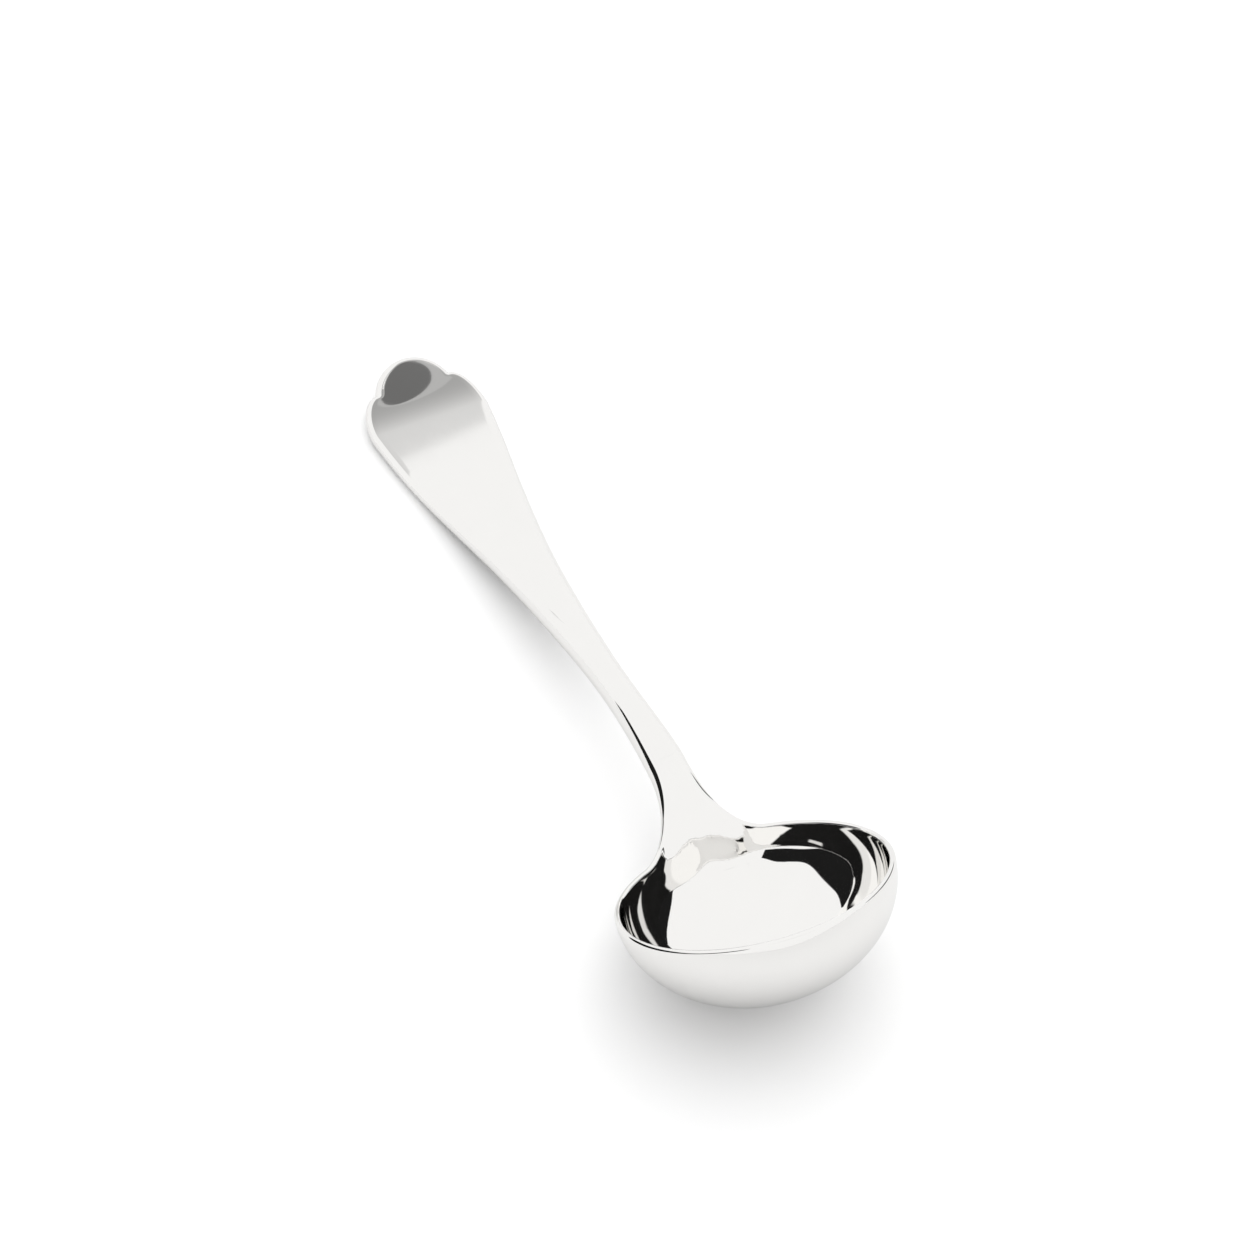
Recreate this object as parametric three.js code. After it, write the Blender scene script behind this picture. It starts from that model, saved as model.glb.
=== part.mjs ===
// A polished silver sauce ladle: a raised round bowl with a drawn neck, hard-soldered to a forged handle.
// Millimetres, +Z up. The ladle lies as it does on a table. The bowl stands on a small flat at the origin
// with its front raised, and the handle runs along +Y and comes down onto the back of its blade.

import * as THREE from 'three';
import { LoftGeometry } from 'three/addons/geometries/LoftGeometry.js';
import { mergeGeometries } from 'three/addons/utils/BufferGeometryUtils.js';

// Bowl
const rimRadius = 26; // outer radius of the round rim
const bowlDepth = 20.5; // from the rim's plane down to the outside of the bottom
const bowlWall = 1.2;
const bowlTilt = THREE.MathUtils.degToRad(32.1); // how far the front of the rim is raised
const restDepth = 0.12; // how much of the round belly is planished away for the flat it stands on

// Neck, drawn out of the back of the rim
const neckLength = 14; // from the back of the rim to the soldered face
const neckRise = 7; // of the face's middle over the back of the rim
const neckSpread = THREE.MathUtils.degToRad(30); // half the arc of rim that the neck grows out of
const neckRootEase = 0.3; // how long the neck follows the bowl's wall, as a share of its length
const neckJointEase = 0.45; // how long it follows the stem

// Soldered face, the same on the neck and on the stem
const jointHalfWidth = 3.9;
const jointHalfThickness = 2.8;
const jointEdge = 2.5; // how far the rounded flank reaches in from the side
const jointSlope = 0.185; // rise of the stem where it leaves the joint
const seamThickness = 0.3;

// Handle: where the stem runs, seen from the side
const archRun = 15.7; // how far the stem keeps rising after the joint, before it turns down
const bladeEaseRun = 24; // how gently the blade comes down onto the table
const stemLength = 99.7; // from the joint to where the blade first lies flat on the table
const bladeFlatLength = 13; // from there to where its end starts to curl up
const curlRadius = 23;
const curlToNotch = 10.3; // along the curl, up to the two notches
const lobeLength = 6; // along the curl, from the notches to the tip

// Handle: half widths and half thicknesses of its sections
const stemHalfWidth = 3.3; // at its narrowest
const stemNarrowest = 27.7; // distance of that place from the joint
const waistHalfWidth = 6; // where the stem has become a blade
const waistToFlat = 36; // distance of the waist from where the blade first lies flat
const bladeFlatHalfWidth = 11.6; // where the blade first lies flat
const bladeHalfWidth = 13.2; // at its widest, just before the shoulders
const notchHalfWidth = 8.3;
const stemHalfThickness = 2.7;
const bladeHalfThickness = 1.4;

// Fineness of the faceted surfaces
const rimColumns = 60; // round the free rim
const wallRings = 12; // from the middle of the bowl to the rim, inside and outside
const edgeRings = 6; // over the rim's rounded edge
const rootColumns = { inside: 8, outside: 12 }; // across the wall below the neck
const rootRings = { inside: 6, outside: 4 }; // rings of the wall that the neck takes up
const neckSections = 14;
const flatPoints = 4; // across half of a section's flat top or bottom
const flankPoints = 18; // round one flank; flats and flanks together match the neck's root
const archSections = 30;
const flatSections = 4;
const shoulderSections = 9;
const lobeSections = 8;

const silver = (name) => new THREE.MeshStandardMaterial({ name, color: 0xe6e7e8, roughness: 0.08, metalness: 1 });

const quarterTurn = Math.PI / 2;
const level = new THREE.Vector3(0, 0, 1);

// The right half of a shape that is the same left and right becomes the whole loop round it.
function mirrorLoop(half) {
  const left = half.slice(1, -1).reverse();
  return [...half, ...left.map((point) => new THREE.Vector3(-point.x, point.y, point.z))];
}

// A section of the stem or the blade: flat above and below, with half-elliptical flanks. Its points run
// from the middle of the top round the right side and back up the left, in the XZ plane.
function sectionOutline(halfWidth, halfThickness, edge) {
  const flat = halfWidth - edge;
  const half = [];
  for (let i = 0; i < flatPoints; i++) half.push(new THREE.Vector3((flat * i) / flatPoints, 0, halfThickness));
  for (let i = 0; i <= flankPoints; i++) {
    const turn = (Math.PI * i) / flankPoints;
    half.push(new THREE.Vector3(flat + edge * Math.sin(turn), 0, halfThickness * Math.cos(turn)));
  }
  for (let i = flatPoints - 1; i >= 0; i--) half.push(new THREE.Vector3((flat * i) / flatPoints, 0, -halfThickness));
  return mirrorLoop(half);
}

// Puts a section's outline at a place on the handle, with `up` square to the top face.
function placeSection(outline, place, up) {
  return outline.map((point) => new THREE.Vector3(point.x, place.y + point.z * up.y, place.z + point.z * up.z));
}

// The bowl is half of a flattened ball. Its lowest point, once it is tilted, is where it rests, and the
// rings of its surface spread from that point to the rim, so the innermost ring is level.
const restHeight = Math.hypot(rimRadius * Math.sin(bowlTilt), bowlDepth * Math.cos(bowlTilt)) - restDepth;
const backAngle = quarterTurn; // where the neck's middle is, round the rim

// From the bowl's own frame, with the rim in its XY plane, to the ladle's.
function tiltBowl(point) {
  return point.applyAxisAngle(new THREE.Vector3(1, 0, 0), -bowlTilt).add(new THREE.Vector3(0, 0, restHeight));
}

// One skin of the bowl. `share` runs from 0, on the first ring round the rest point, to 1 at the rim.
function bowlSkin(radius, depth, firstRing) {
  const lowest = new THREE.Vector3(0, radius * Math.sin(bowlTilt), -depth * Math.cos(bowlTilt)).normalize();
  return (angle, share) => {
    const rim = new THREE.Vector3(Math.cos(angle), Math.sin(angle), 0);
    const reach = lowest.angleTo(rim);
    const across = rim.clone().addScaledVector(lowest, -Math.cos(reach)).normalize();
    const turn = firstRing + share * (reach - firstRing);
    const ball = lowest.clone().multiplyScalar(Math.cos(turn)).addScaledVector(across, Math.sin(turn));
    return tiltBowl(ball.multiply(new THREE.Vector3(radius, radius, depth)));
  };
}

const flatRing = Math.acos(1 - restDepth / (restHeight + restDepth));
const outerSkin = bowlSkin(rimRadius, bowlDepth, flatRing);
const innerSkin = bowlSkin(rimRadius - bowlWall, bowlDepth - bowlWall, 0);

// The flat is one ring of the outer skin, cut off level.
const flatMiddle = outerSkin(backAngle, 0).lerp(outerSkin(-backAngle, 0), 0.5);

// The middles of the neck's soldered face and of the stem's, and the places along the handle after them.
const rimBack = tiltBowl(new THREE.Vector3(0, rimRadius, 0));
const jointMiddle = new THREE.Vector3(0, neckLength, neckRise).add(rimBack);
const stemStart = new THREE.Vector3(0, seamThickness, 0).add(jointMiddle);
const bladeFlatStart = stemStart.y + stemLength;
const bladeFlatEnd = bladeFlatStart + bladeFlatLength;

// The rim's edge is half round. `share` runs from 0 on the inside to 1 on the outside.
function rimEdge(angle, share) {
  const turn = Math.PI * share;
  const radius = rimRadius - (bowlWall / 2) * (1 + Math.cos(turn));
  const rise = (bowlWall / 2) * Math.sin(turn);
  return tiltBowl(new THREE.Vector3(radius * Math.cos(angle), radius * Math.sin(angle), rise));
}

const steps = (count, place) => Array.from({ length: count + 1 }, (_, i) => place(i / count));

// From the middle of the inside, over the edge, to the middle of the flat underneath.
function wholeColumn(angle) {
  return [
    ...steps(wallRings, (share) => innerSkin(angle, share)),
    ...steps(edgeRings, (share) => rimEdge(angle, share)).slice(1, -1),
    ...steps(wallRings, (share) => outerSkin(angle, 1 - share)),
    flatMiddle,
  ];
}

// A patch of the bowl from columns that stand side by side, clockwise seen from above.
function patch(columns) {
  return new LoftGeometry(columns[0].map((_, ring) => columns.map((column) => column[ring])), { closed: false });
}

// The loop round the neck's root, on the wall inside, over the rim and on the wall outside. Each point
// comes with the direction in the bowl's surface in which the neck leaves it.
function neckRoot() {
  const side = backAngle - neckSpread;
  const shareInside = 1 - rootRings.inside / wallRings;
  const shareOutside = 1 - rootRings.outside / wallRings;
  const step = 1e-4;
  const rootPoint = (surface, angle, share, turn) => {
    const point = surface(angle, share);
    const toRim = surface(angle, share + step).sub(point).normalize();
    const toNeck = surface(angle + step, share).sub(point).normalize();
    const leave = toRim.multiplyScalar(Math.cos(turn)).addScaledVector(toNeck, Math.sin(turn)).normalize();
    return { point, leave };
  };
  const wall = (surface, shareAtRoot, columns, rings) => {
    const count = columns / 2 + rings;
    const turnAt = (index) => (quarterTurn * index) / count;
    const across = steps(columns / 2, (s) => [backAngle - neckSpread * s, shareAtRoot]);
    const up = steps(rings, (s) => [side, shareAtRoot + (1 - shareAtRoot) * s]).slice(1);
    return [...across, ...up].map(([angle, share], index) => rootPoint(surface, angle, share, turnAt(index)));
  };
  const half = [
    ...wall(innerSkin, shareInside, rootColumns.inside, rootRings.inside),
    ...steps(edgeRings, (s) => rootPoint(rimEdge, side, s, quarterTurn)).slice(1, -1),
    ...wall(outerSkin, shareOutside, rootColumns.outside, rootRings.outside).reverse(),
  ];
  return { points: mirrorLoop(half.map((root) => root.point)), leaves: mirrorLoop(half.map((root) => root.leave)) };
}

function neckGeometry() {
  const face = sectionOutline(jointHalfWidth, jointHalfThickness, jointEdge);
  const root = neckRoot();
  const stemRun = new THREE.Vector3(0, 1, jointSlope).normalize();
  const lines = placeSection(face, jointMiddle, level).map((end, index) => {
    const start = root.points[index];
    const length = start.distanceTo(end);
    const first = start.clone().addScaledVector(root.leaves[index], neckRootEase * length);
    const second = end.clone().addScaledVector(stemRun, -neckJointEase * length);
    return new THREE.CubicBezierCurve3(end, second, first, start);
  });
  lines.reverse(); // the neck is lofted towards -Y, so its sections run the other way round
  const sections = steps(neckSections, (share) => lines.map((line) => line.getPoint(share)));
  return new LoftGeometry(sections, { capStart: true });
}

function makeBowl() {
  const freeAngle = (share) => backAngle - neckSpread - 2 * (Math.PI - neckSpread) * share;
  const neckAngle = (share) => backAngle + neckSpread - 2 * neckSpread * share;
  const insideRings = wallRings - rootRings.inside;
  const outsideRings = wallRings - rootRings.outside;
  const belowNeckInside = (angle) => steps(insideRings, (s) => innerSkin(angle, (s * insideRings) / wallRings));
  const belowNeckOutside = (angle) => [
    ...steps(outsideRings, (s) => outerSkin(angle, ((1 - s) * outsideRings) / wallRings)),
    flatMiddle,
  ];
  const geometry = mergeGeometries([
    patch(steps(rimColumns, (share) => wholeColumn(freeAngle(share)))),
    patch(steps(rootColumns.inside, (share) => belowNeckInside(neckAngle(share)))),
    patch(steps(rootColumns.outside, (share) => belowNeckOutside(neckAngle(share)))),
    neckGeometry(),
  ]);
  return new THREE.Mesh(geometry, silver('polished silver bowl'));
}

function makeSolderSeam() {
  const outline = sectionOutline(jointHalfWidth, jointHalfThickness, jointEdge);
  const sections = [jointMiddle, stemStart].map((place) => placeSection(outline, place, level));
  return new THREE.Mesh(new LoftGeometry(sections, { capStart: true, capEnd: true }), silver('silver solder'));
}

// The middle of the handle, seen from the side: an arch down to the table, a flat stretch and the curl.
const arch = new THREE.CubicBezierCurve3(
  stemStart,
  new THREE.Vector3(0, archRun, archRun * jointSlope).add(stemStart),
  new THREE.Vector3(0, bladeFlatStart - bladeEaseRun, bladeHalfThickness),
  new THREE.Vector3(0, bladeFlatStart, bladeHalfThickness),
);

function curlPoint(length) {
  const turn = length / curlRadius;
  const rise = curlRadius * (1 - Math.cos(turn));
  return new THREE.Vector3(0, bladeFlatEnd + curlRadius * Math.sin(turn), bladeHalfThickness + rise);
}

// Half width and half thickness along the stem and the blade, by distance behind the rim's centre.
const widths = new THREE.SplineCurve([
  new THREE.Vector2(stemStart.y, jointHalfWidth),
  new THREE.Vector2(stemStart.y + stemNarrowest, stemHalfWidth),
  new THREE.Vector2(bladeFlatStart - waistToFlat, waistHalfWidth),
  new THREE.Vector2(bladeFlatStart, bladeFlatHalfWidth),
  new THREE.Vector2(bladeFlatEnd, bladeHalfWidth),
]);
const thicknesses = new THREE.SplineCurve([
  new THREE.Vector2(stemStart.y, jointHalfThickness),
  new THREE.Vector2(stemStart.y + stemNarrowest, stemHalfThickness),
  new THREE.Vector2(bladeFlatStart, bladeHalfThickness),
]);

// The height of a curve over a distance, for a curve that always runs onward.
function heightAt(curve, distance) {
  let low = 0;
  let high = 1;
  for (let i = 0; i < 30; i++) {
    const middle = (low + high) / 2;
    if (curve.getPoint(middle).x < distance) low = middle;
    else high = middle;
  }
  return curve.getPoint(low).y;
}

function stemSection(place, up) {
  const halfThickness = place.y < bladeFlatStart ? heightAt(thicknesses, place.y) : bladeHalfThickness;
  const edge = halfThickness * (jointEdge / jointHalfThickness);
  return placeSection(sectionOutline(heightAt(widths, place.y), halfThickness, edge), place, up);
}

// A section of the curled end, which gets thinner over its last millimetres so that the tip is round.
function curlSection(length, halfWidth) {
  const turn = length / curlRadius;
  const fromTip = Math.min(curlToNotch + lobeLength - length, bladeHalfThickness) / bladeHalfThickness;
  const halfThickness = bladeHalfThickness * Math.sqrt(1 - (1 - fromTip) ** 2);
  const outline = sectionOutline(halfWidth, halfThickness, Math.min(halfThickness, halfWidth));
  return placeSection(outline, curlPoint(length), new THREE.Vector3(0, -Math.sin(turn), Math.cos(turn)));
}

function handleSections() {
  const sections = [];
  for (let i = 0; i <= archSections; i++) {
    const run = arch.getTangent(i / archSections);
    const up = i === 0 ? level : new THREE.Vector3(0, -run.z, run.y);
    sections.push(stemSection(arch.getPoint(i / archSections), up));
  }
  for (let i = 1; i <= flatSections; i++) {
    const y = THREE.MathUtils.lerp(bladeFlatStart, bladeFlatEnd, i / flatSections);
    sections.push(stemSection(new THREE.Vector3(0, y, bladeHalfThickness), level));
  }

  // The shoulders: a quarter of an ellipse from the widest place in to the notches.
  for (let i = 1; i <= shoulderSections; i++) {
    const turn = quarterTurn * (i / shoulderSections);
    const halfWidth = THREE.MathUtils.lerp(notchHalfWidth, bladeHalfWidth, Math.cos(turn));
    sections.push(curlSection(curlToNotch * Math.sin(turn), halfWidth));
  }

  // The lobe between the notches is an arc of a circle.
  const lobeRadius = (notchHalfWidth ** 2 + lobeLength ** 2) / (2 * lobeLength);
  const lobeArc = Math.acos(1 - lobeLength / lobeRadius);
  for (let i = 1; i < lobeSections; i++) {
    const turn = lobeArc * (1 - i / lobeSections);
    const length = curlToNotch + lobeLength - lobeRadius * (1 - Math.cos(turn));
    sections.push(curlSection(length, lobeRadius * Math.sin(turn)));
  }
  return sections;
}

function makeHandle() {
  const geometry = new LoftGeometry(handleSections(), { capStart: true, capEnd: true });
  return new THREE.Mesh(geometry, silver('polished silver handle'));
}

// Everything above is measured from the rim's centre; the ladle's own origin is the middle of its flat.
const pieces = { bowl: makeBowl(), solder_seam: makeSolderSeam(), handle: makeHandle() };
const ladle = new THREE.Group();
ladle.position.y = -flatMiddle.y;
for (const [name, mesh] of Object.entries(pieces)) {
  mesh.name = name;
  ladle.add(mesh);
}

export default ladle;
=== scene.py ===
"""A polished silver sauce ladle lying on a pale table: a raised round bowl with a drawn neck,
hard-soldered to a forged handle whose flat blade ends in two shoulders and a turned-up lobe.

Metres, in the frame of the CAD model: +Z up, +Y along the handle, the origin under the bowl.
"""

import math
from bisect import bisect_right

import bpy
from mathutils import Matrix, Vector


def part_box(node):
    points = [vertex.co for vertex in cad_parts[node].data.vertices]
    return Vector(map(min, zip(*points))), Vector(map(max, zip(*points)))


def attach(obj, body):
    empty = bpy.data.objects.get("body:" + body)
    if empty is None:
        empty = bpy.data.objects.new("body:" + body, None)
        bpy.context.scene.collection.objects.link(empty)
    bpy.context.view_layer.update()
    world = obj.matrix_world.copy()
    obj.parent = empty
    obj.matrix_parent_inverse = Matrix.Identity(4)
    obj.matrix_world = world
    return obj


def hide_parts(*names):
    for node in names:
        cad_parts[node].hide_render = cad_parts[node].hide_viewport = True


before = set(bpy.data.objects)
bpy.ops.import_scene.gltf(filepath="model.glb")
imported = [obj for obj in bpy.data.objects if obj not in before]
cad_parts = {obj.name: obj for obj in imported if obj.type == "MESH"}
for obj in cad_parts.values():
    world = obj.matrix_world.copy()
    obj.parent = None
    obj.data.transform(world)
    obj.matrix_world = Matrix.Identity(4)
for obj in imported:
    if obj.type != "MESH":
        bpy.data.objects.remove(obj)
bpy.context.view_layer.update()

MM = 0.001
X, Y, Z = Vector((1, 0, 0)), Vector((0, 1, 0)), Vector((0, 0, 1))
QUARTER_TURN = math.pi / 2
SMALL_TURN = 1e-4

# Camera
VIEW_AZIMUTH = math.radians(-25.47)
VIEW_ELEVATION = math.radians(49.72)
VIEW_DISTANCE = 700 * MM
VIEW_WIDTH = 250 * MM  # what the frame spans at the point looked at
VIEW_POINT = Vector((13.48, 77.5, 0)) * MM

# The CAD solids that the new pieces follow
bowl_low, bowl_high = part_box("bowl")
seam_low, seam_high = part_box("solder_seam")
handle_low, handle_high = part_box("handle")

# Bowl
RIM_RADIUS = bowl_high.x
BOWL_DEPTH = 20.5 * MM  # from the rim's plane to the outside of the bottom
BOWL_WALL = 1.2 * MM
BOWL_TILT = math.radians(32.1)  # how far the front of the rim is raised
REST_DEPTH = 0.12 * MM  # planished away for the small flat the bowl stands on

# Neck, drawn out of the back of the rim
NECK_LENGTH = 14 * MM  # from the back of the rim to the soldered face
NECK_SPREAD = math.radians(30)  # half the arc of rim that it grows out of
NECK_DEPTH_INSIDE = math.radians(26.25)  # how far below the rim it starts, as turns of the wall
NECK_DEPTH_OUTSIDE = math.radians(16.875)
NECK_ROOT_EASE = 0.3  # how long it follows the bowl's wall, as a share of its length
NECK_JOINT_EASE = 0.45  # and how long it follows the stem

# Soldered joint
JOINT_HALF_WIDTH = seam_high.x
JOINT_HALF_THICKNESS = (seam_high.z - seam_low.z) / 2
JOINT_EDGE = 2.5 * MM  # how far the rounded flank reaches in from the side
JOINT_SLOPE = 0.185  # rise of the stem where it leaves the joint
JOINT_EASE_LENGTH = 4 * MM  # over this the stem's sections turn from upright to square to it
NECK_FACE = Vector((0, seam_low.y, (seam_low.z + seam_high.z) / 2))
STEM_FACE = NECK_FACE + (seam_high.y - seam_low.y) * Vector((0, 1, JOINT_SLOPE))

# Handle, seen from the side
ARCH_RUN = 15.7 * MM
BLADE_EASE_RUN = 24 * MM
STEM_LENGTH = 99.7 * MM  # from the joint to where the blade first lies flat on the table
BLADE_FLAT_LENGTH = 13 * MM
CURL_RADIUS = 23 * MM
CURL_TO_NOTCH = 10.3 * MM  # along the curl, up to the two notches
LOBE_LENGTH = 6 * MM  # along the curl, from the notches to the tip

# Handle, seen from above and in section
STEM_HALF_WIDTH = 3.3 * MM
STEM_NARROWEST = 27.7 * MM  # behind the joint
WAIST_HALF_WIDTH = 6 * MM
WAIST_TO_FLAT = 36 * MM
BLADE_FLAT_HALF_WIDTH = 11.6 * MM
BLADE_HALF_WIDTH = handle_high.x
NOTCH_HALF_WIDTH = 8.3 * MM
STEM_HALF_THICKNESS = 2.7 * MM
BLADE_HALF_THICKNESS = 1.4 * MM
EDGE_SHARE = JOINT_EDGE / JOINT_HALF_THICKNESS  # width of a rounded flank for its half thickness
BLADE_END_RISE = 0.18 * MM  # the forged blade is this much thicker where its end turns up
BLADE_RISE_EASE = 0.4  # and levels out over this share of the flat stretch beyond it

BLADE_FLAT_START = STEM_FACE.y + STEM_LENGTH

# Fineness of the meshes
COLUMNS = 240  # round the bowl
RINGS = 48  # from the middle of the bowl to the rim
EDGE_RINGS = 12  # over the rim's rounded edge
COLUMN_TURN = 2 * math.pi / COLUMNS
RING_TURN = QUARTER_TURN / RINGS
NECK_COLUMNS = 23  # half the columns of the wall that the neck takes up
NECK_RINGS_INSIDE = 16  # and its rings
NECK_RINGS_OUTSIDE = 11
ROOT_ROWS = 8
NECK_ROWS = 60
SEAM_COLUMNS = 60
ARCH_STEPS = 400
FLAT_STEPS = 52
CURL_STEPS = 80
STEM_STRIDE = 4  # one row of the mesh for so many steps of the side view
SHOULDER_ROWS = 30
NOTCH_ROWS = 6
LOBE_ROWS = 30
FACE_COLUMNS = 10  # across half of the flat top or bottom
EDGE_COLUMNS = 24  # round one edge
SHARPEST_SMOOTH = math.radians(40)

# Along half of the joint's outline, which runs from 0 at the top to 1 underneath
JOINT_FLAT_SHARE = 4 / 26  # the flat top, and the flat underside
RIM_PLACES = (0.42, 0.58)  # where the lines from the inside and the outside of the rim end
RIM_PLACE_PACE = 0.7  # how fast places change at the rim's edges, against the average over it
MIDDLE_PLACE_PACE = 0.8  # and at the middle, against the average from there to the rim

# Studio. Azimuths are in degrees, from straight in front of the bowl towards the right.
# The black flags hang round the bowl, and their edges are (azimuth, height in mm) points.
FLAG_RADIUS = 110 * MM
FLAG_MIDDLE_Y = -6 * MM
LEFT_FLAG_TOP = [
    (-155, 35), (-142, 49), (-130, 66), (-117, 78), (-94, 87),
    (-80, 109), (-70, 127), (-60, 136), (-43, 130),
]
LEFT_FLAG_FOOT = [
    (-155, 24), (-142, 11), (-130, 3), (-117, 5), (-100, 20), (-80, 55), (-67, 70), (-43, 92),
]
RIGHT_FLAG_TOP = [(66, 66), (80, 72), (90, 70), (100, 62), (110, 49), (122, 30)]
RIGHT_FLAG_FOOT = [(66, 54), (80, 50), (90, 40), (100, 33), (110, 25), (122, 20)]
FLAG_COLUMNS = 60
FLAG_SOFT_EDGE = 0.05  # the share of its height over which a flag's top fades
FLAG_BRIGHTNESS = 0.012
OVAL_SIDES = 64
LOBE_CARD_LEAN = math.radians(-150)
LOBE_CARDS = [  # ovals over the turned-up lobe: name, brightness, middle and half sizes in mm
    ("dark card", 0.165, (10.7, 146, 53.5), (6.2, 16.3)),
    ("grey card", 0.5, (13.2, 146, 55), (10, 19)),
]
PANEL_MIDDLE = Vector((60, 20.5, 120)) * MM  # the white panel over the bowl
PANEL_SIZE = Vector((180, 223, 1)) * MM
PANEL_BRIGHTNESS = 1.0

# What the silver sees beyond the cards, as brightness
FADE_LOW, FADE_HIGH = 40.0, 80.0  # elevations between which the grey fade over the blade lies
FADE_DARKEST = 0.4
FADE_STEPS = [  # elevation, brightness
    (47.9, 0.99), (48.1, 0.76), (52, 0.69), (57, 0.61), (63, 0.52), (70, 0.44),
]
FADE_SIDES = (-20, 172)  # and the azimuths
FADE_SOFT_SIDE = 14
DARK_SIDES = (-118, 126)  # azimuths that are dark after two reflections, but for some strips
DARK_SOFT_SIDE = 4
STRIPS = [  # azimuths, elevations, brightness
    ((-128, -91), (-30, 49), 1.0),
    ((-91, -69), (-30, 46), 0.85),
    ((46, 74), (38, 49.5), 0.75),
]
STRIP_SOFT_SIDE, STRIP_SOFT_END = 6, 3
TWICE_DARKEST, TWICE_BRIGHTEST = 0.01, 1.12
SECOND_REFLECTION = 1.5  # a ray's count of glossy surfaces is above this from its second one on

# Light on the floor
ALL_ROUND_LIGHT = 0.55
KEY_LIGHT = 1.45  # what is added towards the key light's own direction
KEY_DIRECTION = (0.45, 0.45, 0.77)  # behind, on the right and above
FLOOR_SIZE = 6
FLOOR_COLOUR = "#F4F4F4"
FLOOR_IN_SILVER = "#DEDEDE"

# Finish
SILVER_TONES = ("#F3F2F0", "#F5F4F2")
HAZE_SIZE = 6 * MM
MARK_DEPTH = 0.0004 * MM  # so shallow that the silver stays a mirror
UNEVEN_LOW, UNEVEN_HIGH = 0.1, 0.45  # what haze times marks comes to nearly everywhere
SMALLEST_GAP = 0.002 * MM  # points nearer than this are merged


def select_only(piece):
    bpy.ops.object.select_all(action="DESELECT")
    piece.select_set(True)
    bpy.context.view_layer.objects.active = piece


def sheet_through(name, rows):
    """A primitive grid laid onto rows of points, from the first row to the last."""
    bpy.ops.mesh.primitive_grid_add(x_subdivisions=len(rows[0]) - 1, y_subdivisions=len(rows) - 1)
    sheet = bpy.context.object
    sheet.name = name
    places = [coordinate for row in rows for point in row for coordinate in point]
    sheet.data.vertices.foreach_set("co", places)
    sheet.data.update()
    return sheet


def sew(name, sheets):
    """Joins sheets that meet, merges what coincides and turns all faces outwards."""
    select_only(sheets[0])
    for sheet in sheets:
        sheet.select_set(True)
    if len(sheets) > 1:
        bpy.ops.object.join()
    piece = bpy.context.object
    piece.name = name
    piece.data.name = name
    bpy.ops.object.mode_set(mode="EDIT")
    bpy.ops.mesh.select_all(action="SELECT")
    bpy.ops.mesh.remove_doubles(threshold=SMALLEST_GAP)
    bpy.ops.mesh.normals_make_consistent(inside=False)
    bpy.ops.object.mode_set(mode="OBJECT")
    bpy.ops.object.shade_smooth()
    return piece


def shares_of(low, high, count):
    """Evenly spaced values from low to high, both included."""
    return [low + (high - low) * i / count for i in range(count + 1)]


# ---- The bowl ----
# Its own frame has the rim in the XY plane and the neck towards +Y.

rest_reach = math.hypot(RIM_RADIUS * math.sin(BOWL_TILT), BOWL_DEPTH * math.cos(BOWL_TILT))
rim_back_y = RIM_RADIUS * math.cos(BOWL_TILT)
rim_middle = Vector((0, bowl_high.y - NECK_LENGTH - rim_back_y, rest_reach - REST_DEPTH))
lie_down = Matrix.Translation(rim_middle) @ Matrix.Rotation(-BOWL_TILT, 4, "X")


def round_wall(radius, depth, round_turn, up_turn):
    """A point on the wall's skin, by how far round it is from the neck's middle and how far
    below the rim, both as turns."""
    ring = radius * math.cos(up_turn)
    return lie_down @ Vector(
        (ring * math.sin(round_turn), ring * math.cos(round_turn), -depth * math.sin(up_turn))
    )


def outer_wall(round_turn, up_turn):
    return round_wall(RIM_RADIUS, BOWL_DEPTH, round_turn, up_turn)


def inner_wall(round_turn, up_turn):
    return round_wall(RIM_RADIUS - BOWL_WALL, BOWL_DEPTH - BOWL_WALL, round_turn, up_turn)


def rim_edge(round_turn, over_turn):
    """The rim's edge is half round: over_turn runs from 0 on the inside to half a turn outside."""
    radius = RIM_RADIUS - BOWL_WALL / 2 * (1 + math.cos(over_turn))
    rise = BOWL_WALL / 2 * math.sin(over_turn)
    return lie_down @ Vector((radius * math.sin(round_turn), radius * math.cos(round_turn), rise))


def wall_skin(name, radius, depth, neck_rings):
    """Half of a ball, flattened to the bowl's depth, with an opening where the neck grows out."""
    bpy.ops.mesh.primitive_uv_sphere_add(segments=COLUMNS, ring_count=2 * RINGS, radius=radius)
    skin = bpy.context.object
    skin.name = name
    bpy.ops.object.mode_set(mode="EDIT")
    bpy.ops.mesh.select_all(action="SELECT")
    bpy.ops.transform.resize(value=(1, 1, depth / radius))
    bpy.ops.mesh.select_mode(type="FACE")
    bpy.ops.mesh.select_all(action="DESELECT")
    bpy.ops.object.mode_set(mode="OBJECT")
    neck_low = -depth * math.sin(neck_rings * RING_TURN)
    for face in skin.data.polygons:
        middle = face.center
        round_turn = abs(math.atan2(middle.x, middle.y))
        in_neck = round_turn < NECK_COLUMNS * COLUMN_TURN and middle.z > neck_low
        face.select = middle.z > 0 or in_neck
    bpy.ops.object.mode_set(mode="EDIT")
    bpy.ops.mesh.delete(type="FACE")
    bpy.ops.object.mode_set(mode="OBJECT")
    skin.data.transform(lie_down)
    return skin


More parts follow.
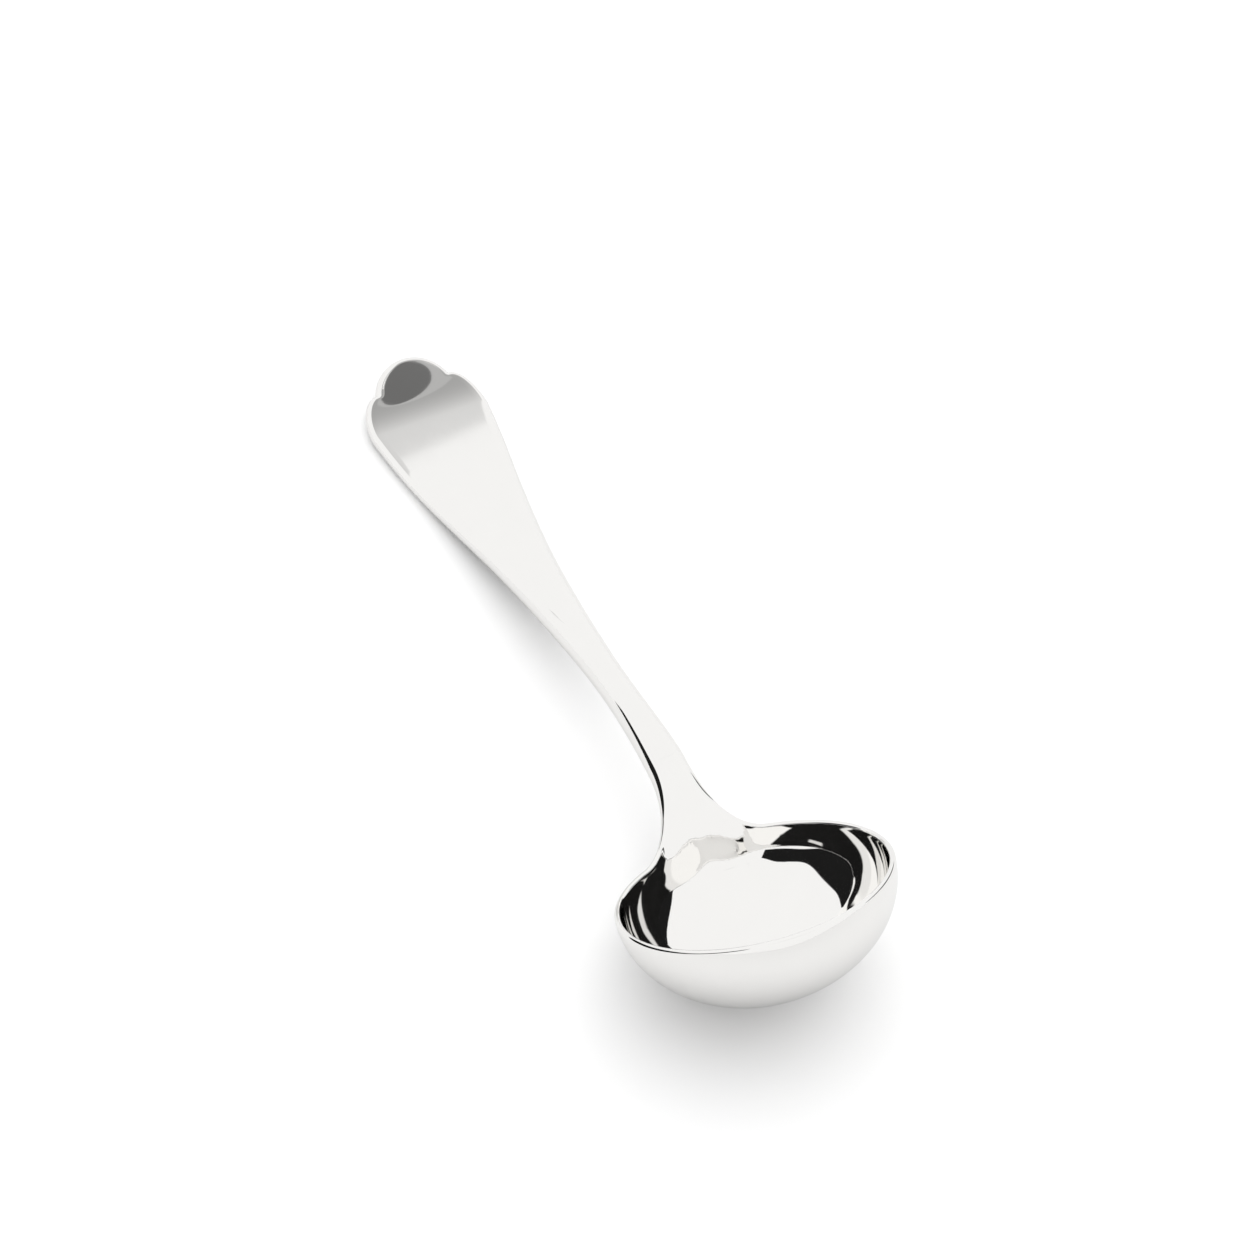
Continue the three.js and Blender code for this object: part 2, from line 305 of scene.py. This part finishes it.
def joint_outline(place):
    """The soldered face's outline: place runs from 0 at the middle of its top, round the right
    side, to 1 underneath."""
    flat = JOINT_HALF_WIDTH - JOINT_EDGE
    if place < JOINT_FLAT_SHARE:
        return Vector((flat * place / JOINT_FLAT_SHARE, 0, JOINT_HALF_THICKNESS))
    if place > 1 - JOINT_FLAT_SHARE:
        return Vector((flat * (1 - place) / JOINT_FLAT_SHARE, 0, -JOINT_HALF_THICKNESS))
    turn = math.pi * (place - JOINT_FLAT_SHARE) / (1 - 2 * JOINT_FLAT_SHARE)
    return Vector((flat + JOINT_EDGE * math.sin(turn), 0, JOINT_HALF_THICKNESS * math.cos(turn)))


def ease_between(low, high, leave, arrive, share):
    """A cubic from low to high that starts and ends at the given slopes."""
    cube, square = share**3, share**2
    return (
        low * (2 * cube - 3 * square + 1) + leave * (cube - 2 * square + share)
        + high * (3 * square - 2 * cube) + arrive * (cube - square)
    )


def neck_root():
    """The right half of the neck's root, from the middle inside, over the rim, to the middle
    outside. For each point: the wall it is on, its place on the square opening in the wall, its
    place on the oval that the neck leaves from, and which way it leaves, from up the wall to
    along the rim."""
    root = []
    corner = NECK_COLUMNS * COLUMN_TURN

    def add_wall(wall, rings, depth, indices):
        count = NECK_COLUMNS + rings
        for i in indices:
            square = (min(i, NECK_COLUMNS) * COLUMN_TURN, min(count - i, rings) * RING_TURN)
            turn = QUARTER_TURN * i / count
            oval = (NECK_SPREAD * math.sin(turn), depth * math.cos(turn))
            root.append((wall, square, oval, QUARTER_TURN * math.sin(turn)))

    inside = range(NECK_COLUMNS + NECK_RINGS_INSIDE + 1)
    add_wall(inner_wall, NECK_RINGS_INSIDE, NECK_DEPTH_INSIDE, inside)
    for over_turn in shares_of(0, math.pi, EDGE_RINGS)[1:-1]:
        root.append((rim_edge, (corner, over_turn), (NECK_SPREAD, over_turn), QUARTER_TURN))
    outside = range(NECK_COLUMNS + NECK_RINGS_OUTSIDE, -1, -1)
    add_wall(outer_wall, NECK_RINGS_OUTSIDE, NECK_DEPTH_OUTSIDE, outside)
    return root


def joint_places(points):
    """Where each point of the root goes on the joint's outline: by its length along the root, so
    that neither the inside nor the outside of the rim leaves a ridge on the neck."""
    lengths = [0.0]
    for before, after in zip(points, points[1:]):
        lengths.append(lengths[-1] + (after - before).length)
    inside = lengths[NECK_COLUMNS + NECK_RINGS_INSIDE]
    outside = lengths[-1 - NECK_COLUMNS - NECK_RINGS_OUTSIDE]
    low, high = RIM_PLACES
    rim_slope = RIM_PLACE_PACE * (high - low) / (outside - inside)
    places = []
    for length in lengths:
        if length < inside:
            start, end = 0, inside
            ends = (0, low, MIDDLE_PLACE_PACE * low / inside, rim_slope)
        elif length < outside:
            start, end = inside, outside
            ends = (low, high, rim_slope, rim_slope)
        else:
            start, end = outside, lengths[-1]
            ends = (high, 1, rim_slope, MIDDLE_PLACE_PACE * (1 - high) / (end - start))
        span = end - start
        share = (length - start) / span
        places.append(ease_between(ends[0], ends[1], ends[2] * span, ends[3] * span, share))
    return places


def cubic(start, first, second, end, share):
    rest = 1 - share
    return (
        start * rest**3 + first * 3 * rest**2 * share
        + second * 3 * rest * share**2 + end * share**3
    )


def mirrored(point):
    return Vector((-point.x, point.y, point.z))


def whole_loop(half):
    """The right half of a row, from top middle to bottom middle, becomes the closed row."""
    return half + [mirrored(point) for point in reversed(half[:-1])]


def make_neck():
    """From the square opening over the wall to an oval, and from there in smooth lines to the
    joint."""
    stem_run = Vector((0, 1, JOINT_SLOPE)).normalized()
    root = neck_root()
    rows = []
    for share in shares_of(0, 1, ROOT_ROWS):
        row = []
        for surface, square, oval, _ in root:
            row.append(surface(*[near + (far - near) * share for near, far in zip(square, oval)]))
        rows.append(row)
    lines = []
    for (surface, _, oval, turn), place in zip(root, joint_places(rows[-1])):
        point = surface(*oval)
        along_rim = (surface(oval[0] - SMALL_TURN, oval[1]) - point).normalized()
        up_wall = Vector((0, 0, 0))
        if surface is not rim_edge:
            up_wall = (surface(oval[0], oval[1] - SMALL_TURN) - point).normalized()
        leave = (up_wall * math.cos(turn) + along_rim * math.sin(turn)).normalized()
        end = NECK_FACE + joint_outline(place)
        length = (end - point).length
        first = point + leave * NECK_ROOT_EASE * length
        second = end - stem_run * NECK_JOINT_EASE * length
        lines.append((point, first, second, end))
    for share in shares_of(0, 1, NECK_ROWS)[1:]:
        rows.append([cubic(*line, share) for line in lines])
    return sheet_through("neck", [whole_loop(row) for row in rows])


def make_rim_edge():
    free_columns = range(NECK_COLUMNS, COLUMNS - NECK_COLUMNS + 1)
    rows = []
    for over_turn in shares_of(0, math.pi, EDGE_RINGS):
        rows.append([rim_edge(i * COLUMN_TURN, over_turn) for i in free_columns])
    return sheet_through("rim_edge", rows)


def planish_flat(bowl):
    """Flattens what would reach below the table, for the small flat that the bowl stands on."""
    select_only(bowl)
    bpy.ops.object.mode_set(mode="EDIT")
    bpy.ops.mesh.select_mode(type="VERT")
    bpy.ops.mesh.select_all(action="DESELECT")
    bpy.ops.object.mode_set(mode="OBJECT")
    for vertex in bowl.data.vertices:
        vertex.select = vertex.co.z < 0
    bpy.ops.object.mode_set(mode="EDIT")
    bpy.ops.transform.resize(value=(1, 1, 0), center_override=(0, 0, 0))
    bpy.ops.object.mode_set(mode="OBJECT")


def make_bowl():
    outside = wall_skin("outside", RIM_RADIUS, BOWL_DEPTH, NECK_RINGS_OUTSIDE)
    inside = wall_skin("inside", RIM_RADIUS - BOWL_WALL, BOWL_DEPTH - BOWL_WALL, NECK_RINGS_INSIDE)
    bowl = sew("polished_bowl", [outside, inside, make_rim_edge(), make_neck()])
    planish_flat(bowl)
    return bowl


# ---- The handle ----


def arch_point(share):
    start = STEM_FACE
    rise = Vector((0, ARCH_RUN, ARCH_RUN * JOINT_SLOPE))
    end = Vector((0, BLADE_FLAT_START, BLADE_HALF_THICKNESS))
    return cubic(start, start + rise, end - Y * BLADE_EASE_RUN, end, share)


def side_view():
    """The middle of the handle as close points: the arch, the flat stretch and the curl."""
    points = [arch_point(share) for share in shares_of(0, 1, ARCH_STEPS)]
    flat_end = Vector((0, BLADE_FLAT_START + BLADE_FLAT_LENGTH, BLADE_HALF_THICKNESS))
    for share in shares_of(0, 1, FLAT_STEPS)[1:]:
        points.append(points[ARCH_STEPS].lerp(flat_end, share))
    for turn in shares_of(0, (CURL_TO_NOTCH + LOBE_LENGTH) / CURL_RADIUS, CURL_STEPS)[1:]:
        points.append(flat_end + CURL_RADIUS * Vector((0, math.sin(turn), 1 - math.cos(turn))))
    return points


class SidePath:
    """Where the handle's middle runs, by the length along it."""

    def __init__(self, points):
        self.points = points
        self.lengths = [0.0]
        for before, after in zip(points, points[1:]):
            self.lengths.append(self.lengths[-1] + (after - before).length)

    def at(self, length):
        """The place and the direction square to the top face, which is upright at the joint."""
        index = min(max(bisect_right(self.lengths, length) - 1, 0), len(self.points) - 2)
        share = (length - self.lengths[index]) / (self.lengths[index + 1] - self.lengths[index])
        place = self.points[index].lerp(self.points[index + 1], share)
        run = self.run(index).lerp(self.run(index + 1), share).normalized()
        square = min(max(length / JOINT_EASE_LENGTH, 0), 1)
        ease = square * square * (3 - 2 * square)
        return place, Z.lerp(Vector((0, -run.z, run.y)), ease).normalized()

    def run(self, index):
        before, after = max(index - 1, 0), min(index + 1, len(self.points) - 1)
        return (self.points[after] - self.points[before]).normalized()


def catmull_rom(points, share):
    """A smooth curve through points; share runs from 0 to 1 over all of them."""
    place = share * (len(points) - 1)
    index = min(int(place), len(points) - 2)
    t = place - index
    before, here = points[max(index - 1, 0)], points[index]
    there, beyond = points[index + 1], points[min(index + 2, len(points) - 1)]
    leave, arrive = (there - before) / 2, (beyond - here) / 2
    return (
        here + leave * t + (3 * (there - here) - 2 * leave - arrive) * t**2
        + (2 * (here - there) + leave + arrive) * t**3
    )


def size_at(points, distance):
    """The size that a smooth curve through (distance, size) points has at a distance."""
    low, high = 0.0, 1.0
    for _ in range(30):
        middle = (low + high) / 2
        if catmull_rom(points, middle).x < distance:
            low = middle
        else:
            high = middle
    return catmull_rom(points, low).y


def half_width(distance):
    """Half the width of the stem and the blade, up to the shoulders."""
    points = [
        Vector((STEM_FACE.y, JOINT_HALF_WIDTH)),
        Vector((STEM_FACE.y + STEM_NARROWEST, STEM_HALF_WIDTH)),
        Vector((BLADE_FLAT_START - WAIST_TO_FLAT, WAIST_HALF_WIDTH)),
        Vector((BLADE_FLAT_START, BLADE_FLAT_HALF_WIDTH)),
        Vector((BLADE_FLAT_START + BLADE_FLAT_LENGTH, BLADE_HALF_WIDTH)),
    ]
    return size_at(points, distance)


def half_thickness(distance):
    if distance >= BLADE_FLAT_START:
        return BLADE_HALF_THICKNESS
    points = [
        Vector((STEM_FACE.y, JOINT_HALF_THICKNESS)),
        Vector((STEM_FACE.y + STEM_NARROWEST, STEM_HALF_THICKNESS)),
        Vector((BLADE_FLAT_START, BLADE_HALF_THICKNESS)),
    ]
    return size_at(points, distance)


def handle_outline(path):
    """The right half of the outline laid out flat, from the joint to the tip, as rows of
    (length along the handle, half width, direction outwards, half thickness)."""
    rows = []
    last_stem = ARCH_STEPS + FLAT_STEPS
    for i in range(0, last_stem + 1, STEM_STRIDE):
        before, after = max(i - 1, 0), min(i + 1, last_stem)
        rise = half_width(path.points[after].y) - half_width(path.points[before].y)
        run = path.lengths[after] - path.lengths[before]
        y = path.points[i].y
        outwards = Vector((-rise, run)).normalized()
        rows.append((path.lengths[i], half_width(y), outwards, half_thickness(y)))
    shoulder = path.lengths[last_stem]
    wide = BLADE_HALF_WIDTH - NOTCH_HALF_WIDTH
    for share in shares_of(0, 1, SHOULDER_ROWS)[1:]:
        turn = QUARTER_TURN * share
        length = shoulder + CURL_TO_NOTCH * math.sin(turn)
        width = NOTCH_HALF_WIDTH + wide * math.cos(turn)
        outwards = Vector((wide * math.sin(turn), CURL_TO_NOTCH * math.cos(turn))).normalized()
        rows.append((length, width, outwards, BLADE_HALF_THICKNESS))
    notch = shoulder + CURL_TO_NOTCH
    lobe_radius = (NOTCH_HALF_WIDTH**2 + LOBE_LENGTH**2) / (2 * LOBE_LENGTH)
    lobe_arc = math.acos(1 - LOBE_LENGTH / lobe_radius)
    for turn in shares_of(0, lobe_arc, NOTCH_ROWS)[1:-1]:
        outwards = Vector((math.cos(turn), math.sin(turn)))
        rows.append((notch, NOTCH_HALF_WIDTH, outwards, BLADE_HALF_THICKNESS))
    for turn in shares_of(lobe_arc, 0, LOBE_ROWS):
        length = notch + LOBE_LENGTH - lobe_radius * (1 - math.cos(turn))
        outwards = Vector((math.cos(turn), math.sin(turn)))
        rows.append((length, lobe_radius * math.sin(turn), outwards, BLADE_HALF_THICKNESS))
    return rows


def end_rise(y):
    """How much the top stands higher: growing over the flat of the blade, then levelling out."""
    share = max((y - BLADE_FLAT_START) / BLADE_FLAT_LENGTH, 0)
    if share < 1:
        return BLADE_END_RISE * share**2
    beyond = min(share - 1, BLADE_RISE_EASE)
    return BLADE_END_RISE * (1 + 2 * beyond - beyond**2 / BLADE_RISE_EASE)


def handle_row(path, length, width, outwards, thickness):
    """The closed row of points round the handle that starts from one point of its outline.
    The edge is rounded square to the outline, so it stays round over the shoulders and the lobe."""
    edge = thickness * EDGE_SHARE
    half = []

    def add(inset, height, across_share=1.0):
        place, up = path.at(length - outwards.x * inset)
        across = (width - outwards.y * inset) * across_share
        if height > 0:
            height += end_rise(place.y) * height / thickness
        half.append(place + up * height + X * across)

    for share in shares_of(0, 1, FACE_COLUMNS)[:-1]:
        add(edge, thickness, share)
    for turn in shares_of(0, math.pi, EDGE_COLUMNS):
        add(edge * (1 - math.sin(turn)), thickness * math.cos(turn))
    for share in shares_of(1, 0, FACE_COLUMNS)[1:]:
        add(edge, -thickness, share)
    return whole_loop(half)


def make_handle():
    path = SidePath(side_view())
    rows = [handle_row(path, *row) for row in handle_outline(path)]
    return sew("polished_handle", [sheet_through("handle_sheet", rows)])


def make_seam():
    """A film of hard solder, filed and polished flush with the neck and the stem."""
    outline = whole_loop([joint_outline(place) for place in shares_of(0, 1, SEAM_COLUMNS)])
    rows = [[face + point for point in outline] for face in (NECK_FACE, STEM_FACE)]
    return sew("solder_film", [sheet_through("solder_sheet", rows)])


def finish_piece(piece, node, material):
    piece.data.materials.clear()
    piece.data.materials.append(material)
    select_only(piece)
    bpy.ops.object.mode_set(mode="EDIT")
    bpy.ops.mesh.select_all(action="SELECT")
    bpy.ops.mesh.fill_holes(sides=0)
    bpy.ops.mesh.normals_make_consistent(inside=False)
    bpy.ops.object.mode_set(mode="OBJECT")
    bpy.ops.object.shade_smooth_by_angle(angle=SHARPEST_SMOOTH)
    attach(piece, "root")
    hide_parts(node)


# ---- Materials ----


def linear(hex_colour):
    """An sRGB hex colour as the linear colour that a shader takes."""
    channels = [int(hex_colour[i : i + 2], 16) / 255 for i in (1, 3, 5)]
    return [c / 12.92 if c <= 0.04045 else ((c + 0.055) / 1.055) ** 2.4 for c in channels] + [1.0]


def add_node(tree, kind, settings=(), links=()):
    """Settings go to the node's own sockets or fields, links are {its socket: another socket}."""
    node = tree.nodes.new(kind)
    for name, value in dict(settings).items():
        if isinstance(name, int) or name in node.inputs:
            node.inputs[name].default_value = value
        else:
            setattr(node, name, value)
    for name, source in dict(links).items():
        tree.links.new(source, node.inputs[name])
    return node


def polished_silver(name, mark_width, mark_length, roughness_low, roughness_high):
    """Silver buffed to a mirror. The cloudy haze of hand wiping and fine marks along the piece
    soften the edges of what it reflects a little, unevenly. Real marks are a few hundredths of
    a millimetre wide; these are as coarse as it takes to show."""
    material = bpy.data.materials.new(name)
    material.use_nodes = True
    tree = material.node_tree
    tree.nodes.clear()
    place = add_node(tree, "ShaderNodeTexCoord").outputs["Object"]
    haze = add_node(
        tree, "ShaderNodeTexNoise", {"Scale": 1 / HAZE_SIZE, "Detail": 3.0}, {"Vector": place}
    ).outputs["Fac"]
    stretch = (1 / mark_width, 1 / mark_length, 1 / mark_width)
    along = add_node(tree, "ShaderNodeMapping", {"Scale": stretch}, {"Vector": place})
    marks = add_node(
        tree, "ShaderNodeTexNoise", {"Scale": 1.0, "Detail": 4.0, "Roughness": 0.7},
        {"Vector": along.outputs["Vector"]},
    ).outputs["Fac"]
    uneven = add_node(tree, "ShaderNodeMath", {"operation": "MULTIPLY"}, {0: haze, 1: marks})
    roughness = add_node(
        tree, "ShaderNodeMapRange",
        {
            "From Min": UNEVEN_LOW, "From Max": UNEVEN_HIGH,
            "To Min": roughness_low, "To Max": roughness_high,
        },
        {"Value": uneven.outputs[0]},
    )
    tone = add_node(
        tree, "ShaderNodeMix",
        {"data_type": "RGBA", 6: linear(SILVER_TONES[0]), 7: linear(SILVER_TONES[1])}, {0: haze},
    )
    bump = add_node(
        tree, "ShaderNodeBump", {"Strength": 1.0, "Distance": MARK_DEPTH}, {"Height": marks}
    )
    shader = add_node(
        tree, "ShaderNodeBsdfPrincipled", {"Metallic": 1.0},
        {
            "Base Color": tone.outputs[2],
            "Roughness": roughness.outputs["Result"],
            "Normal": bump.outputs["Normal"],
        },
    )
    add_node(tree, "ShaderNodeOutputMaterial", {}, {"Surface": shader.outputs["BSDF"]})
    return material


# ---- The studio ----


def place_camera():
    back = Vector(
        (
            math.sin(VIEW_AZIMUTH) * math.cos(VIEW_ELEVATION),
            -math.cos(VIEW_AZIMUTH) * math.cos(VIEW_ELEVATION),
            math.sin(VIEW_ELEVATION),
        )
    )
    bpy.ops.object.camera_add(location=VIEW_POINT + back * VIEW_DISTANCE)
    camera = bpy.context.object
    camera.rotation_euler = back.to_track_quat("Z", "Y").to_euler()
    camera.data.lens = camera.data.sensor_width * VIEW_DISTANCE / VIEW_WIDTH
    camera.data.clip_start = 10 * MM
    bpy.context.scene.camera = camera


def make_floor():
    """Pale paper, which the silver sees a little darker than the camera does."""
    bpy.ops.mesh.primitive_plane_add(size=FLOOR_SIZE)
    floor = bpy.context.object
    floor.name = "floor"
    material = bpy.data.materials.new("white paper")
    material.use_nodes = True
    tree = material.node_tree
    tree.nodes.clear()
    mirrored_view = add_node(tree, "ShaderNodeLightPath").outputs["Is Glossy Ray"]
    tone = add_node(
        tree, "ShaderNodeMix",
        {"data_type": "RGBA", 6: linear(FLOOR_COLOUR), 7: linear(FLOOR_IN_SILVER)},
        {0: mirrored_view},
    )
    shader = add_node(
        tree, "ShaderNodeBsdfPrincipled", {"Roughness": 0.9}, {"Base Color": tone.outputs[2]}
    )
    add_node(tree, "ShaderNodeOutputMaterial", {}, {"Surface": shader.outputs["BSDF"]})
    floor.data.materials.append(material)


def within(tree, value, low, high, soft):
    """1 between low and high and 0 outside; soft is how wide the step at each end is."""
    ends = []
    for end in (low, high):
        step = {"interpolation_type": "SMOOTHSTEP"}
        step.update({"From Min": end - soft / 2, "From Max": end + soft / 2})
        ends.append(add_node(tree, "ShaderNodeMapRange", step, {"Value": value}).outputs["Result"])
    between = add_node(tree, "ShaderNodeMath", {"operation": "SUBTRACT"}, {0: ends[0], 1: ends[1]})
    return between.outputs[0]


def card_material(name, brightness):
    """A card that only a first reflection sees, and only from its front."""
    material = bpy.data.materials.new(name)
    material.use_nodes = True
    tree = material.node_tree
    tree.nodes.clear()
    path = add_node(tree, "ShaderNodeLightPath").outputs
    again = add_node(
        tree, "ShaderNodeMath",
        {"operation": "GREATER_THAN", 1: SECOND_REFLECTION},
        {0: path["Glossy Depth"]},
    ).outputs[0]
    behind = add_node(tree, "ShaderNodeNewGeometry").outputs["Backfacing"]
    across = add_node(tree, "ShaderNodeTexCoord").outputs["UV"]
    height = add_node(tree, "ShaderNodeSeparateXYZ", {}, {"Vector": across}).outputs["Y"]
    top = {"interpolation_type": "SMOOTHSTEP", "From Min": 1 - FLAG_SOFT_EDGE, "From Max": 1.0}
    fade = add_node(tree, "ShaderNodeMapRange", top, {"Value": height}).outputs["Result"]
    unseen = again
    for reason in (behind, fade):
        both = {0: unseen, 1: reason}
        unseen = add_node(tree, "ShaderNodeMath", {"operation": "MAXIMUM"}, both).outputs[0]
    glow = add_node(tree, "ShaderNodeEmission", {"Strength": brightness}).outputs["Emission"]
    clear = add_node(tree, "ShaderNodeBsdfTransparent").outputs["BSDF"]
    mixed = add_node(tree, "ShaderNodeMixShader", {}, {"Fac": unseen, 1: glow, 2: clear})
    add_node(tree, "ShaderNodeOutputMaterial", {}, {"Surface": mixed.outputs["Shader"]})
    return material


def place_card(card, name, brightness):
    card.name = name
    card.data.materials.append(card_material(name, brightness))
    card.visible_camera = card.visible_diffuse = card.visible_shadow = False


def make_flag(name, foot, top):
    """A curved black card hung round one side of the bowl, facing it."""
    rows = []
    for edge in (foot, top):
        row = []
        for turn in shares_of(edge[-1][0], edge[0][0], FLAG_COLUMNS):
            height = size_at([Vector(point) for point in edge], turn) * MM
            x = FLAG_RADIUS * math.sin(math.radians(turn))
            y = FLAG_MIDDLE_Y - FLAG_RADIUS * math.cos(math.radians(turn))
            row.append(Vector((x, y, height)))
        rows.append(row)
    place_card(sheet_through(name, rows), name, FLAG_BRIGHTNESS)


def make_cards():
    make_flag("left black flag", LEFT_FLAG_FOOT, LEFT_FLAG_TOP)
    make_flag("right black flag", RIGHT_FLAG_FOOT, RIGHT_FLAG_TOP)
    for name, brightness, middle, size in LOBE_CARDS:
        bpy.ops.mesh.primitive_circle_add(
            vertices=OVAL_SIDES, radius=1, fill_type="NGON", calc_uvs=False,
            location=Vector(middle) * MM, rotation=(LOBE_CARD_LEAN, 0, 0),
        )
        bpy.context.object.scale = Vector((*size, 1)) * MM
        place_card(bpy.context.object, name, brightness)
    bpy.ops.mesh.primitive_plane_add(
        size=1, calc_uvs=False, location=PANEL_MIDDLE, rotation=(math.pi, 0, 0)
    )
    bpy.context.object.scale = PANEL_SIZE
    place_card(bpy.context.object, "white panel over the bowl", PANEL_BRIGHTNESS)


def light_studio():
    """White all round, with a grey fade that the blade's turned-up end sees. After two
    reflections the silver sees darker surroundings, with a few light strips."""
    world = bpy.data.worlds.new("studio")
    bpy.context.scene.world = world
    world.use_nodes = True
    tree = world.node_tree
    tree.nodes.clear()
    towards = add_node(tree, "ShaderNodeTexCoord").outputs["Generated"]
    parts = add_node(tree, "ShaderNodeSeparateXYZ", {}, {"Vector": towards}).outputs
    forwards = add_node(tree, "ShaderNodeMath", {"operation": "MULTIPLY", 1: -1.0}, {0: parts["Y"]})
    turn = add_node(
        tree, "ShaderNodeMath", {"operation": "ARCTAN2"}, {0: parts["X"], 1: forwards.outputs[0]}
    )
    degrees = {"operation": "MULTIPLY", 1: math.degrees(1)}
    azimuth = add_node(tree, "ShaderNodeMath", degrees, {0: turn.outputs[0]}).outputs[0]
    rise = add_node(tree, "ShaderNodeMath", {"operation": "ARCSINE"}, {0: parts["Z"]}).outputs[0]
    elevation = add_node(tree, "ShaderNodeMath", degrees, {0: rise}).outputs[0]

    # Seen once: a grey fade over the blade's end, darker towards the top
    fade_heights = {"From Min": FADE_LOW, "From Max": FADE_HIGH}
    share = add_node(
        tree, "ShaderNodeMapRange", fade_heights, {"Value": elevation}
    ).outputs["Result"]
    fade = add_node(tree, "ShaderNodeFloatCurve", {}, {"Value": share})
    points = fade.mapping.curves[0].points
    points[0].location, points[-1].location = (0, 1), (1, FADE_DARKEST)
    for height, light in FADE_STEPS:
        points.new((height - FADE_LOW) / (FADE_HIGH - FADE_LOW), light)
    fade.mapping.update()
    # The curve swings a little above 1 beside its steep step
    fade_light = add_node(tree, "ShaderNodeClamp", {}, {"Value": fade.outputs["Value"]})
    over_blade = within(tree, azimuth, *FADE_SIDES, FADE_SOFT_SIDE)
    seen_once = add_node(
        tree, "ShaderNodeMix", {"data_type": "FLOAT", 2: 1.0},
        {0: over_blade, 3: fade_light.outputs["Result"]},
    ).outputs[0]

    # Seen twice
    front = within(tree, azimuth, *DARK_SIDES, DARK_SOFT_SIDE)
    strips = []
    for turns, heights, light in STRIPS:
        sides = {
            0: within(tree, azimuth, *turns, STRIP_SOFT_SIDE),
            1: within(tree, elevation, *heights, STRIP_SOFT_END),
        }
        strip = add_node(tree, "ShaderNodeMath", {"operation": "MULTIPLY"}, sides).outputs[0]
        lit = add_node(tree, "ShaderNodeMath", {"operation": "MULTIPLY", 1: light}, {0: strip})
        strips.append(lit.outputs[0])
    all_strips = strips[0]
    for strip in strips[1:]:
        both = {0: all_strips, 1: strip}
        all_strips = add_node(tree, "ShaderNodeMath", {"operation": "ADD"}, both).outputs[0]
    behind = add_node(tree, "ShaderNodeMath", {"operation": "SUBTRACT", 0: 1.0}, {1: front})
    bright = {0: all_strips, 1: behind.outputs[0]}
    twice = add_node(tree, "ShaderNodeMath", {"operation": "MAXIMUM"}, bright).outputs[0]
    seen_twice = add_node(
        tree, "ShaderNodeMapRange", {"To Min": TWICE_DARKEST, "To Max": TWICE_BRIGHTEST},
        {"Value": twice},
    ).outputs["Result"]

    # Soft light on the floor, most of it from behind on the right
    lean = add_node(
        tree, "ShaderNodeVectorMath", {"operation": "DOT_PRODUCT", 1: KEY_DIRECTION}, {0: towards}
    ).outputs["Value"]
    soft_light = add_node(
        tree, "ShaderNodeMapRange",
        {"From Min": 0.0, "To Min": ALL_ROUND_LIGHT, "To Max": ALL_ROUND_LIGHT + KEY_LIGHT},
        {"Value": lean},
    ).outputs["Result"]

    path = add_node(tree, "ShaderNodeLightPath").outputs
    again = add_node(
        tree, "ShaderNodeMath",
        {"operation": "GREATER_THAN", 1: SECOND_REFLECTION},
        {0: path["Glossy Depth"]},
    ).outputs[0]
    mirrored_light = add_node(
        tree, "ShaderNodeMix", {"data_type": "FLOAT"}, {0: again, 2: seen_once, 3: seen_twice}
    ).outputs[0]
    strength = add_node(
        tree, "ShaderNodeMix", {"data_type": "FLOAT"},
        {0: path["Is Diffuse Ray"], 2: mirrored_light, 3: soft_light},
    ).outputs[0]
    background = add_node(
        tree, "ShaderNodeBackground", {"Color": (1, 1, 1, 1)}, {"Strength": strength}
    )
    add_node(tree, "ShaderNodeOutputWorld", {}, {"Surface": background.outputs["Background"]})


place_camera()
make_floor()
make_cards()
light_studio()
bpy.context.scene.view_settings.view_transform = "Standard"

# Raised over a stake and buffed in all directions: the clearest mirror, with short marks
raised = polished_silver(
    "sterling silver sheet, raised and polished", 0.25 * MM, 2 * MM, 0.02, 0.05
)
# Forged and buffed lengthwise: a trace softer, with marks that run along the handle
forged = polished_silver("sterling silver bar, forged and polished", 0.2 * MM, 8 * MM, 0.03, 0.07)
# Filed flush across a narrow line: a trace duller than the silver on either side
solder = polished_silver("hard silver solder, filed and polished", 0.15 * MM, 1 * MM, 0.04, 0.09)
finish_piece(make_bowl(), "bowl", raised)
finish_piece(make_seam(), "solder_seam", solder)
finish_piece(make_handle(), "handle", forged)
